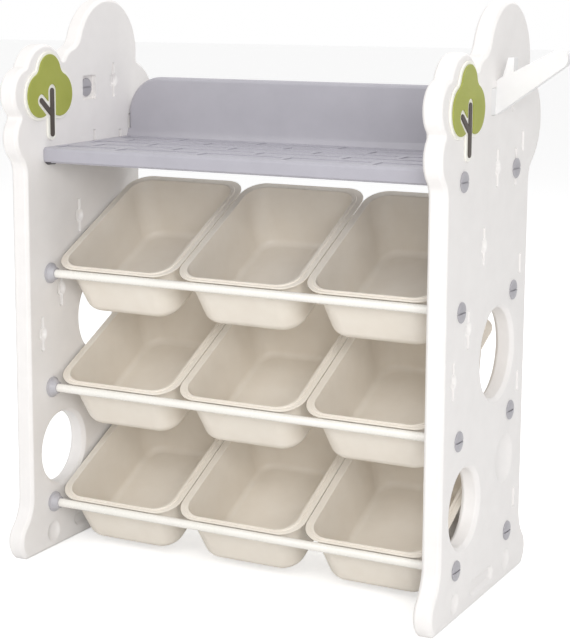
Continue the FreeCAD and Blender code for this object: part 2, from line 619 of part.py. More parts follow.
# ---------------------------------------------------------------- the whole object
def build():
    """Every node by name, in the modelling frame."""
    backings, crowns, trunks = tree_badges()
    nodes = {
        "left_side_panel": side_panel(-HALF_WIDTH),
        "right_side_panel": side_panel(INNER_FACE),
        "shelf_tray": shelf_tray(),
        "shelf_back_board": back_board(),
        "shelf_front_tube": tube(FRONT_TUBE_Y, SHELF_TUBE_Z),
        "shelf_rear_tube": tube(REAR_TUBE_Y, SHELF_TUBE_Z),
        "hanger_arm": hanger_arm(),
        "recess_caps": recess_caps(),
        "tree_backings": backings,
        "tree_crowns": crowns,
        "tree_trunks": trunks,
    }
    for name, z in zip(ROW_NAMES, ROW_Z):
        nodes[name + "_front_tube"] = tube(FRONT_TUBE_Y, z)
        nodes[name + "_rear_tube"] = tube(REAR_TUBE_Y, z)
    for name, side in SIDES:
        nodes[name + "_tube_collars"] = side_collars(side)
        nodes[name + "_screw_caps"] = side_caps(side)
    level = bin_solid()
    for row, row_z in zip(ROW_NAMES, ROW_Z):
        for column, place in zip(COLUMN_NAMES, (-1, 0, 1)):
            nodes["bin_" + row + "_" + column] = placed_bin(level, place, row_z)
    return nodes


def write(nodes):
    """Shift everything so the origin is at the bottom centre, and write one file per node."""
    os.makedirs("parts", exist_ok=True)
    box = Part.makeCompound(list(nodes.values())).optimalBoundingBox()
    shift = Vector(-(box.XMin + box.XMax) / 2.0, -(box.YMin + box.YMax) / 2.0, -box.ZMin)
    print("size %.2f x %.2f x %.2f mm" % (box.XLength, box.YLength, box.ZLength))
    print("shift %.3f %.3f %.3f" % (shift.x, shift.y, shift.z))
    for name, shape in nodes.items():
        moved = shape.copy()
        moved.translate(shift)
        moved.exportStep("parts/" + name + ".step")
        if not shape.isValid():
            print("not valid:", name)


write(build())
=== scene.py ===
"""Looks of the toy storage organizer: moulded plastics, enamelled tubes, camera and studio."""

import logging
import math
from dataclasses import dataclass
from enum import Enum
from typing import Any, Callable, Sequence

import bmesh
import bpy
from mathutils import Matrix, Vector


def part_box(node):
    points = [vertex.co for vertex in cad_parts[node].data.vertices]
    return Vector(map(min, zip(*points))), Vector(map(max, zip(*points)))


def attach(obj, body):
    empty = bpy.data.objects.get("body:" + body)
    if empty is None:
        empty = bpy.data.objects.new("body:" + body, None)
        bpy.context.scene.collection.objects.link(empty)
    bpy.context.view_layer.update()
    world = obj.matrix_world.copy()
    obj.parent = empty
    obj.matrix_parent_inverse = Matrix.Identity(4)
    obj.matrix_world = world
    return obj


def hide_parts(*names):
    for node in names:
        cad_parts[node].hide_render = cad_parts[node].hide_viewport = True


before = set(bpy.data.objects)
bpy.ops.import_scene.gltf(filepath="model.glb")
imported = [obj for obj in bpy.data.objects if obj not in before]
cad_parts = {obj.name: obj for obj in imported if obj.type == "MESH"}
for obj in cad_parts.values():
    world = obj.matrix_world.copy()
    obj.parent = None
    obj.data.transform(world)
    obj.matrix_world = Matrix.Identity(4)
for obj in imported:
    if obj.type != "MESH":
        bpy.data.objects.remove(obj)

LOG = logging.getLogger("organizer")
MM = 0.001
IMAGE_WIDTH = 570
IMAGE_HEIGHT = 640
ROOT_BODY = "frame"
SHARP_EDGE_DEG = 34.0           # a sharper turn than this is shaded as a crisp edge
CHAMFER_DEG = (38.0, 52.0)      # turns that the solids' 45-degree chamfers show
CORNER_DEG = (50.0, 130.0)      # turns at the square corners of the arm
LAYER_DEG = (60.0, 120.0)       # turns at the rims of the badges' layers
ROLL_SHARE = 0.98               # part of a chamfer that its two rounds take up together
SAME_PLACE = 1e-6               # metres within which points are taken as one
SEAM_GAP = 2e-6                 # metres between the loose corners of a CAD mesh
FLAT_TURN_DEG = 0.3             # faces of a CAD mesh that turn less than this are one


class Side(Enum):
    """The two side panels, with the direction from the middle towards each."""

    LEFT = -1.0
    RIGHT = 1.0

    def node(self, part: str) -> str:
        """Name of this side's CAD node of a part."""
        return f"{self.name.lower()}_{part}"


class Row(Enum):
    """Rows of bins, named as their tubes and bins are."""

    UPPER = "upper"
    MIDDLE = "middle"
    LOWER = "lower"


class Column(Enum):
    """Columns of bins."""

    LEFT = "left"
    CENTRE = "centre"
    RIGHT = "right"


SHELF_TUBES = [f"shelf_{end}_tube" for end in ("front", "rear")]
TUBES = [f"{row.value}_{end}_tube" for row in Row for end in ("front", "rear")] + SHELF_TUBES


# ------------------------------------------------------------------ colour and nodes
def linear(hex_colour: str) -> tuple[float, float, float, float]:
    """Turn an sRGB hex colour into linear RGBA.

    Args:
        hex_colour: Six hex digits, with or without a leading hash.

    Returns:
        Linear red, green and blue with an alpha of 1.
    """
    digits = hex_colour.lstrip("#")
    channels = [int(digits[i:i + 2], 16) / 255.0 for i in (0, 2, 4)]
    curved = [c / 12.92 if c <= 0.04045 else ((c + 0.055) / 1.055) ** 2.4 for c in channels]
    return curved[0], curved[1], curved[2], 1.0


def add_node(tree: bpy.types.NodeTree, kind: str, settings: dict[str, Any],
             links: dict[str, Any]) -> bpy.types.Node:
    """Add one shader node with its settings and links.

    Args:
        tree: Node tree that gets the node.
        kind: Blender's node type name.
        settings: Attribute names with values; a name that starts with "in:" sets that input's value.
        links: Input names, or numbers, with the output socket that feeds each.

    Returns:
        The new node.
    """
    node = tree.nodes.new(kind)
    for name, value in settings.items():
        if name.startswith("in:"):
            key = name[3:]
            node.inputs[int(key) if key.isdigit() else key].default_value = value
        else:
            setattr(node, name, value)
    for key, socket in links.items():
        tree.links.new(socket, node.inputs[key])
    return node


def per_metre(size_mm: float) -> float:
    """Noise scale that gives features of about the given size in millimetres."""
    return 1.0 / (size_mm * MM)


@dataclass(frozen=True)
class MouldedPlastic:
    """Coloured thermoplastic with a lightly grained mould surface."""

    name: str
    colour: str
    shade: str
    roughness: float = 0.42
    ior: float = 1.49
    grain_mm: float = 1.6
    grain_depth_mm: float = 0.03
    wave_mm: float = 60.0
    wave_depth_mm: float = 0.25
    mottle_mm: float = 35.0
    coat: float = 0.0
    coat_roughness: float = 0.12
    gloss_spread: tuple[float, float] = (-0.05, 0.06)

    def material(self) -> bpy.types.Material:
        """Build the material once, and give the same one afterwards.

        Returns:
            A procedural material that reads Object coordinates.
        """
        existing = bpy.data.materials.get(self.name)
        if existing is not None:
            return existing
        material = bpy.data.materials.new(self.name)
        material.use_nodes = True
        tree = material.node_tree
        tree.nodes.clear()
        place = add_node(tree, "ShaderNodeTexCoord", {}, {}).outputs["Object"]
        mottle = add_node(tree, "ShaderNodeTexNoise",
                          {"in:Scale": per_metre(self.mottle_mm), "in:Detail": 4.0, "in:Roughness": 0.55},
                          {"Vector": place})
        fine = add_node(tree, "ShaderNodeTexNoise",
                        {"in:Scale": per_metre(self.grain_mm), "in:Detail": 3.0, "in:Roughness": 0.6},
                        {"Vector": place})
        wave = add_node(tree, "ShaderNodeTexNoise",
                        {"in:Scale": per_metre(self.wave_mm), "in:Detail": 1.0},
                        {"Vector": place})
        blend = add_node(tree, "ShaderNodeMapRange",
                         {"in:From Min": 0.3, "in:From Max": 0.7, "in:To Min": 0.0, "in:To Max": 1.0},
                         {"Value": mottle.outputs["Fac"]})
        colour = add_node(tree, "ShaderNodeMix",
                          {"data_type": "RGBA", "in:6": linear(self.colour), "in:7": linear(self.shade)},
                          {"Factor": blend.outputs["Result"]})
        speck = add_node(tree, "ShaderNodeMapRange",
                         {"in:From Min": 0.35, "in:From Max": 0.65,
                          "in:To Min": self.roughness + self.gloss_spread[0],
                          "in:To Max": self.roughness + self.gloss_spread[1]},
                         {"Value": fine.outputs["Fac"]})
        broad = add_node(tree, "ShaderNodeBump",
                         {"in:Strength": 1.0, "in:Distance": self.wave_depth_mm * MM},
                         {"Height": wave.outputs["Fac"]})
        bump = add_node(tree, "ShaderNodeBump",
                        {"in:Strength": 1.0, "in:Distance": self.grain_depth_mm * MM},
                        {"Height": fine.outputs["Fac"], "Normal": broad.outputs["Normal"]})
        shader = add_node(tree, "ShaderNodeBsdfPrincipled",
                          {"in:IOR": self.ior, "in:Metallic": 0.0, "in:Coat Weight": self.coat,
                           "in:Coat Roughness": self.coat_roughness},
                          {"Base Color": colour.outputs[2], "Roughness": speck.outputs["Result"],
                           "Normal": bump.outputs["Normal"]})
        add_node(tree, "ShaderNodeOutputMaterial", {}, {"Surface": shader.outputs["BSDF"]})
        return material


# The mould grain of every plastic below is drawn at 1.6 mm, coarser than the real 0.3 mm, so that it shows.
# Blow-moulded HDPE, dull and slightly waxy: broad soft reflections and a faint waviness from cooling.
PANEL_HDPE = MouldedPlastic("blow_moulded_hdpe_white", "#EFECEA", "#EBE8E6", roughness=0.46)
# Injection-moulded polypropylene, satin: a fine even grain and warm cream pigment.
BIN_POLYPROPYLENE = MouldedPlastic("moulded_polypropylene_cream", "#EAE3D8", "#E6DED2", roughness=0.40,
                                   wave_depth_mm=0.12)
# The same resin in two greys for the shelf and its board: a quiet satin that shows the sunk panels' edges.
SHELF_POLYPROPYLENE = MouldedPlastic("moulded_polypropylene_grey", "#AFADB5", "#AAA8B0", roughness=0.44,
                                     wave_depth_mm=0.12)
BOARD_POLYPROPYLENE = MouldedPlastic("moulded_polypropylene_light_grey", "#AFADB4", "#ABA9B0", roughness=0.44,
                                     wave_depth_mm=0.12)
# White stove enamel on steel tube: smooth, with a slight orange peel under a clear gloss.
TUBE_ENAMEL = MouldedPlastic("stove_enamel_white", "#EFECE6", "#ECE9E2", roughness=0.24, grain_mm=2.4,
                             grain_depth_mm=0.015, wave_depth_mm=0.0, coat=0.4)
# Small hard ABS mouldings: tighter highlights than the panels, and no waviness on such short faces.
COLLAR_ABS = MouldedPlastic("moulded_abs_grey", "#B9B7BB", "#B3B1B6", roughness=0.38, wave_depth_mm=0.0)
# Painted shade: the grey collars under the shelf are coloured dark to stand in for the shadow the shelf casts
# on them.
SHELF_COLLAR_PAINTED_SHADE = MouldedPlastic("abs_grey_painted_shade", "#4A484C", "#444246", roughness=0.42,
                                  wave_depth_mm=0.0)
CAP_ABS = MouldedPlastic("moulded_abs_mid_grey", "#AEACB1", "#A8A6AB", roughness=0.36, wave_depth_mm=0.0)
ARM_ABS = MouldedPlastic("moulded_abs_white", "#E9E8E8", "#E6E5E4", roughness=0.40, wave_depth_mm=0.05)
# The badges' three layers, moulded in their own colours: ivory rim, leaf green crown and dark bark.
BADGE_BORDER = MouldedPlastic("moulded_abs_ivory", "#F7F5EE", "#F3F1E8", roughness=0.38, wave_depth_mm=0.0)
BADGE_GREEN = MouldedPlastic("moulded_abs_leaf_green", "#A3A84C", "#9CA245", roughness=0.44,
                             wave_depth_mm=0.0)
BADGE_TRUNK = MouldedPlastic("moulded_abs_bark_grey", "#4F4741", "#48403A", roughness=0.46,
                             wave_depth_mm=0.0)


# ------------------------------------------------------------------ mesh helpers
def middle_of(node: str) -> Vector:
    """Middle of the box round a CAD node, in metres."""
    low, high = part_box(node)
    return (low + high) / 2.0


def finish_object(name: str, mesh: bmesh.types.BMesh, material: bpy.types.Material, body: str,
                  nodes: Sequence[str]) -> bpy.types.Object:
    """Turn a bmesh into a finished piece that rides on a body and stands for CAD nodes.

    Args:
        name: Piece name.
        mesh: Finished bmesh in the row frame, in metres. It is freed here.
        material: Material of every face.
        body: CAD body that the piece moves with.
        nodes: CAD nodes that the piece replaces; may be empty.

    Returns:
        The new object.
    """
    for face in mesh.faces:
        face.smooth = True
    for edge in edges_between(mesh, SHARP_EDGE_DEG, 180.0):
        edge.smooth = False
    data = bpy.data.meshes.new(name)
    mesh.to_mesh(data)
    mesh.free()
    data.materials.append(material)
    piece = bpy.data.objects.new(name, data)
    bpy.context.scene.collection.objects.link(piece)
    weighted = piece.modifiers.new("face_weighted_normals", "WEIGHTED_NORMAL")
    weighted.keep_sharp = True
    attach(piece, body)
    if nodes:
        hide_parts(*nodes)
    LOG.info("%s: %d faces on %s", name, len(data.polygons), body)
    return piece


def merged_copy(node: str) -> bmesh.types.BMesh:
    """Copy a CAD node's mesh with its loose triangles joined and its flat faces whole.

    Args:
        node: CAD node name.

    Returns:
        A bmesh in the row frame.
    """
    mesh = bmesh.new()
    mesh.from_mesh(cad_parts[node].data)
    bmesh.ops.remove_doubles(mesh, verts=mesh.verts, dist=SEAM_GAP)
    bmesh.ops.dissolve_limit(mesh, angle_limit=math.radians(FLAT_TURN_DEG), verts=mesh.verts,
                             edges=mesh.edges, delimit={"NORMAL"})
    return mesh


def edges_between(mesh: bmesh.types.BMesh, low_deg: float, high_deg: float,
                  keep: Callable[[bmesh.types.BMEdge], bool] = lambda edge: True) -> list[bmesh.types.BMEdge]:
    """Edges whose faces meet at an angle within a range.

    Args:
        mesh: Mesh to search.
        low_deg: Least turn between the two faces, in degrees.
        high_deg: Largest turn.
        keep: Further test that an edge must pass.

    Returns:
        The edges found.
    """
    low, high = math.radians(low_deg), math.radians(high_deg)
    return [edge for edge in mesh.edges
            if len(edge.link_faces) == 2 and low < edge.calc_face_angle(0.0) < high and keep(edge)]


def roll_width(chamfer_mm: float) -> float:
    """Width by which both edges of a 45-degree chamfer are rounded to make one roll, in millimetres."""
    return chamfer_mm * math.sqrt(0.5) * ROLL_SHARE


def ease(mesh: bmesh.types.BMesh, edges: Sequence[bmesh.types.BMEdge], width_mm: float,
         segments: int) -> None:
    """Round edges of a mesh.

    Args:
        mesh: Mesh that holds the edges.
        edges: Edges to round; there may be none.
        width_mm: Width taken off each side of an edge, in millimetres.
        segments: Steps in the round.
    """
    if edges:
        bmesh.ops.bevel(mesh, geom=list(edges), offset=width_mm * MM, offset_type="OFFSET", affect="EDGES",
                        segments=segments, profile=0.5, material=-1, clamp_overlap=True)


def rounded_ring(mesh: bmesh.types.BMesh, half_x: float, front: float, rear: float, radius: float,
                 height: float, segments: int) -> list[bmesh.types.BMEdge]:
    """Closed loop of edges round a rounded rectangle, its inside left empty.

    Args:
        mesh: Mesh that gets the loop.
        half_x: Half the width.
        front: Lowest Y.
        rear: Highest Y.
        radius: Corner radius.
        height: Z of the loop.
        segments: Steps in each corner.

    Returns:
        The loop's edges.
    """
    corners = [mesh.verts.new((x, y, height)) for x, y in
               ((-half_x, front), (half_x, front), (half_x, rear), (-half_x, rear))]
    mesh.faces.new(corners)
    bmesh.ops.bevel(mesh, geom=corners, offset=radius, offset_type="OFFSET", affect="VERTICES",
                    segments=segments, profile=0.5, material=-1, clamp_overlap=True)
    mesh.faces.ensure_lookup_table()
    level = [face for face in mesh.faces
             if len(face.verts) > 4 and abs(face.calc_center_median().z - height) < SAME_PLACE / 10.0]
    whole = max(level, key=lambda face: face.calc_area())
    edges = list(whole.edges)
    bmesh.ops.delete(mesh, geom=[whole], context="FACES_ONLY")
    return edges


def carried(point: Vector, old: Sequence[float], new: Sequence[float]) -> Vector:
    """Move a point of one rounded rectangle to its twin on another.

    Args:
        point: Point on the old outline's corner arcs.
        old: Half width, front, rear, corner radius and height of its own outline.
        new: The same of the outline that it goes to.

    Returns:
        The twin point.
    """
    side = math.copysign(1.0, point.x)
    rearward = point.y > (old[1] + old[2]) / 2.0

    def centre(ring: Sequence[float]) -> Vector:
        """Middle of the corner arc that the point lies on."""
        along = ring[2] - ring[3] if rearward else ring[1] + ring[3]
        return Vector((side * (ring[0] - ring[3]), along, ring[4]))

    return centre(new) + (point - centre(old)) * (new[3] / old[3])


def lofted_rings(mesh: bmesh.types.BMesh, stations: Sequence[Sequence[float]], segments: int) -> None:
    """Closed skin through rounded rectangles, extruded ring by ring and capped at both ends.

    Args:
        mesh: Mesh that gets the skin.
        stations: Half width, front, rear, corner radius and height of each ring, in metres.
        segments: Steps in each corner.
    """
    edges = rounded_ring(mesh, *stations[0], segments)
    first = edges
    for old, new in zip(stations, stations[1:]):
        made = bmesh.ops.extrude_edge_only(mesh, edges=edges)["geom"]
        fresh = {item for item in made if isinstance(item, bmesh.types.BMVert)}
        for vert in fresh:
            vert.co = carried(vert.co, old, new)
        edges = [item for item in made
                 if isinstance(item, bmesh.types.BMEdge) and fresh.issuperset(item.verts)]
    for ring in (first, edges):
        bmesh.ops.contextual_create(mesh, geom=ring)
    bmesh.ops.recalc_face_normals(mesh, faces=mesh.faces)


def turned_body(profile: Sequence[tuple[float, float]], steps: int) -> bmesh.types.BMesh:
    """Spin a (radius, height) outline round X; heights run along +X.

    Args:
        profile: Outline in metres that starts and ends on the axis.
        steps: Steps round the axis.

    Returns:
        A closed bmesh with outward normals.
    """
    mesh = bmesh.new()
    points = [mesh.verts.new((height, radius, 0.0)) for radius, height in profile]
    edges = [mesh.edges.new((a, b)) for a, b in zip(points, points[1:])]
    bmesh.ops.spin(mesh, geom=points + edges, cent=(0, 0, 0), axis=(1, 0, 0), angle=math.tau,
                   steps=steps, use_merge=True)
    bmesh.ops.remove_doubles(mesh, verts=mesh.verts, dist=SAME_PLACE)
    bmesh.ops.recalc_face_normals(mesh, faces=mesh.faces)
    return mesh


def add_copy(target: bmesh.types.BMesh, source: bmesh.types.BMesh, place: Matrix) -> None:
    """Add a moved copy of one bmesh to another, the right way out even if the move mirrors it.

    Args:
        target: Mesh that gets the copy.
        source: Mesh that is copied.
        place: Move of the copy.
    """
    data = bpy.data.meshes.new("moved_copy")
    source.to_mesh(data)
    data.transform(place)
    if place.determinant() < 0:
        data.flip_normals()
    target.from_mesh(data)
    bpy.data.meshes.remove(data)


# ------------------------------------------------------------------ side panels
def fall(value: float, start: float, end: float) -> float:
    """Smooth drop from 1 to 0.

    Args:
        value: Where it is read.
        start: Value up to which it is 1.
        end: Value from which it is 0.

    Returns:
        The share that is left.
    """
    share = min(max((value - start) / (end - start), 0.0), 1.0)
    return 1.0 - share * share * (3.0 - 2.0 * share)


@dataclass(frozen=True)
class Recess:
    """Soft hollow in a panel's face, placed from the front tubes and the floor, in millimetres."""

    behind_tube: float
    height: float

    def reach(self) -> tuple[float, float]:
        """Half its extent along the panel's depth, and half its height."""
        raise NotImplementedError

    def pressed(self, across: float, along: float) -> float:
        """How far the face is pressed in at a point.

        Args:
            across: Point's distance behind the recess's middle.
            along: Its height over the middle.

        Returns:
            The depth there.
        """
        raise NotImplementedError


@dataclass(frozen=True)
class Leaf(Recess):
    """Upright square-ended groove, with a round bulge at its middle unless that is 0."""

    length: float = 54.0
    groove: float = 7.5
    bulge: float = 24.0
    depth: float = 6.0
    bowl_share: float = 0.85
    bowl_floor: float = 0.45
    groove_floor: float = 0.35
    end_slope: float = 2.0

    def reach(self) -> tuple[float, float]:
        """Half its extent along the panel's depth, and half its height."""
        return max(self.bulge, self.groove) / 2.0, self.length / 2.0

    def pressed(self, across: float, along: float) -> float:
        """How far the face is pressed in at a point.

        Args:
            across: Point's distance behind the recess's middle.
            along: Its height over the middle.

        Returns:
            The depth there.
        """
        half = self.length / 2.0
        bowl = 0.0
        if self.bulge:
            bowl = fall(math.hypot(across, along) / (self.bulge / 2.0), self.bowl_floor, 1.0)
        line = fall(abs(across) / (self.groove / 2.0), self.groove_floor, 1.0)
        return self.depth * max(self.bowl_share * bowl, line * fall(abs(along), half - self.end_slope, half))


@dataclass(frozen=True)
class Dish(Recess):
    """Round hollow with the form of a ball's cap."""

    radius: float = 16.0
    depth: float = 5.5

    def reach(self) -> tuple[float, float]:
        """Half its extent along the panel's depth, and half its height."""
        return self.radius, self.radius

    def pressed(self, across: float, along: float) -> float:
        """How far the face is pressed in at a point.

        Args:
            across: Point's distance behind the recess's middle.
            along: Its height over the middle.

        Returns:
            The depth there.
        """
        ball = (self.radius ** 2 + self.depth ** 2) / (2.0 * self.depth)
        out = min(math.hypot(across, along), self.radius)
        return math.sqrt(ball ** 2 - out ** 2) - (ball - self.depth)


@dataclass(frozen=True)
class Capsule(Recess):
    """Level hollow with round ends."""

    half_length: float = 47.5
    half_height: float = 12.5
    depth: float = 4.5
    floor_share: float = 0.5

    def reach(self) -> tuple[float, float]:
        """Half its extent along the panel's depth, and half its height."""
        return self.half_length, self.half_height

    def pressed(self, across: float, along: float) -> float:
        """How far the face is pressed in at a point.

        Args:
            across: Point's distance behind the recess's middle.
            along: Its height over the middle.

        Returns:
            The depth there.
        """
        beyond = max(abs(across) - (self.half_length - self.half_height), 0.0)
        return self.depth * fall(math.hypot(beyond, along) / self.half_height, self.floor_share, 1.0)


@dataclass
class SidePanels:
    """Thick blow-moulded panels with rolled edges and softly pressed recesses."""

    edge_bevel_mm: float = 4.5
    roll_segments: int = 5
    patch_margin_mm: float = 2.5
    fine_step_mm: float = 1.0
    coarse_step_mm: float = 1.7
    deepest_mm: float = 12.0
    leaves: tuple[Leaf, ...] = (Leaf(186.0, 728.0), Leaf(129.0, 625.0), Leaf(82.0, 520.0), Leaf(29.0, 411.0),
                                Leaf(-23.0, 348.0), Leaf(204.0, 620.0))
    slit_places: tuple[tuple[float, float], ...] = ((233.0, 655.0), (233.0, 475.0), (235.0, 298.0),
                                                    (232.0, 120.0))
    hollows: tuple[Recess, ...] = (Dish(-2.0, 27.0), Dish(204.0, 30.0),
                                   Dish(186.0, 191.0, radius=36.5, depth=10.0), Capsule(103.5, 28.5))

    def build(self) -> None:
        """Make both panels, which are the same moulding."""
        left, right = (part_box(side.node("side_panel"))[0].x for side in Side)
        moulding = self.moulding(Side.LEFT.node("side_panel"))
        twin = moulding.copy()
        bmesh.ops.translate(twin, vec=(right - left, 0.0, 0.0), verts=twin.verts)
        for side, mesh in zip(Side, (moulding, twin)):
            finish_object(side.node("panel_moulding"), mesh, PANEL_HDPE.material(), ROOT_BODY,
                          [side.node("side_panel")])

    def recesses(self) -> list[Recess]:
        """Every recess of a panel's face."""
        slits = [Leaf(y, z, length=30.0, groove=9.0, bulge=0.0, depth=5.0) for y, z in self.slit_places]
        return [*self.leaves, *slits, *self.hollows]

    def moulding(self, node: str) -> bmesh.types.BMesh:
        """Round a panel's edges and soften its recesses on a copy of its solid.

        Args:
            node: CAD node of the panel.

        Returns:
            The panel's mesh.
        """
        mesh = merged_copy(node)
        ease(mesh, edges_between(mesh, *CHAMFER_DEG), roll_width(self.edge_bevel_mm), self.roll_segments)
        face_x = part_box(node)[1].x
        tube_y = middle_of("upper_front_tube").y
        on_face = [face for face in mesh.faces
                   if all(abs(vert.co.x - face_x) < SAME_PLACE for vert in face.verts)]
        flat = set(bmesh.ops.triangulate(mesh, faces=on_face)["faces"])
        for recess in self.recesses():
            flat = self.press(mesh, flat, recess,
                              Vector((face_x, tube_y + recess.behind_tube * MM, recess.height * MM)))
        bmesh.ops.recalc_face_normals(mesh, faces=mesh.faces)
        return mesh

    def press(self, mesh: bmesh.types.BMesh, flat: set[bmesh.types.BMFace], recess: Recess,
              middle: Vector) -> set[bmesh.types.BMFace]:
        """Cut a rectangle round a sharp recess, close it flat, divide it finely and press the soft form in.

        Args:
            mesh: The panel.
            flat: The faces that lie on the panel's face.
            recess: What is pressed in.
            middle: The recess's middle, on the panel's face.

        Returns:
            The flat faces that are left.
        """
        half_y, half_z = ((reach + self.patch_margin_mm) * MM for reach in recess.reach())
        sides = [(Vector((0, 1, 0)), half_y), (Vector((0, -1, 0)), half_y),
                 (Vector((0, 0, 1)), half_z), (Vector((0, 0, -1)), half_z)]

        def inside(point: Vector, room: float) -> bool:
            """Whether a point is in the rectangle, or within some room of it."""
            return (abs(point.y - middle.y) < half_y + room and abs(point.z - middle.z) < half_z + room
                    and middle.x - self.deepest_mm * MM < point.x < middle.x + MM)

        def meets(face: bmesh.types.BMFace) -> bool:
            """Whether a face's box overlaps the rectangle."""
            ys, zs = [vert.co.y for vert in face.verts], [vert.co.z for vert in face.verts]
            return (min(ys) < middle.y + half_y and max(ys) > middle.y - half_y
                    and min(zs) < middle.z + half_z and max(zs) > middle.z - half_z)

        for normal, reach in sides:
            chosen = {face for face in flat if meets(face)}
            flat = (flat - chosen) | self.cut(mesh, chosen, middle + normal * reach, normal)
        doomed = {face for face in mesh.faces if inside(face.calc_center_median(), -SAME_PLACE)}
        flat -= doomed
        bmesh.ops.delete(mesh, geom=list(doomed), context="FACES")
        rim = [edge for edge in mesh.edges if edge.is_boundary and inside(edge.verts[0].co, SAME_PLACE)]
        patch = set(bmesh.ops.contextual_create(mesh, geom=rim)["faces"])
        step_mm = self.fine_step_mm if isinstance(recess, Leaf) else self.coarse_step_mm
        for normal, reach in (sides[0], sides[2]):
            count = max(2, round(2.0 * reach / (step_mm * MM)))
            for step in range(1, count):
                place = middle + normal * (2.0 * reach * step / count - reach)
                patch = self.cut(mesh, patch, place, normal)
        for vert in {vert for face in patch for vert in face.verts}:
            offset = vert.co - middle
            vert.co.x -= recess.pressed(offset.y / MM, offset.z / MM) * MM
        return flat

    @staticmethod
    def cut(mesh: bmesh.types.BMesh, faces: set[bmesh.types.BMFace], place: Vector,
            normal: Vector) -> set[bmesh.types.BMFace]:
        """Cut faces along a plane and keep both sides.

        Args:
            mesh: Mesh that holds the faces.
            faces: Faces to cut.
            place: Point on the plane.
            normal: The plane's normal.

        Returns:
            The faces after the cut.
        """
        edges = {edge for face in faces for edge in face.edges}
        verts = {vert for face in faces for vert in face.verts}
        done = bmesh.ops.bisect_plane(mesh, geom=list(verts) + list(edges) + list(faces),
                                      dist=SAME_PLACE / 10.0, plane_co=place, plane_no=normal)
        return {item for item in done["geom"] if isinstance(item, bmesh.types.BMFace)}


# ------------------------------------------------------------------ tubes and fixings
@dataclass
class Tubes:
    """Enamelled tubes between the panels."""

    segments: int = 48

    def build(self) -> None:
        """Make every tube."""
        for node in TUBES:
            self.tube(node)

    def tube(self, node: str) -> bpy.types.Object:
        """One tube, drawn from the box of its solid.

        Args:
            node: CAD node that it replaces.

        Returns:
            The finished tube.
        """
        low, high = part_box(node)
        radius = (high.z - low.z) / 2.0
        mesh = bmesh.new()
        turn = Matrix.Translation(middle_of(node)) @ Matrix.Rotation(math.pi / 2.0, 4, "Y")
        bmesh.ops.create_cone(mesh, cap_ends=True, segments=self.segments, radius1=radius, radius2=radius,
                              depth=high.x - low.x, matrix=turn)
        return finish_object(node + "_enamelled", mesh, TUBE_ENAMEL.material(), ROOT_BODY,
                             [node])


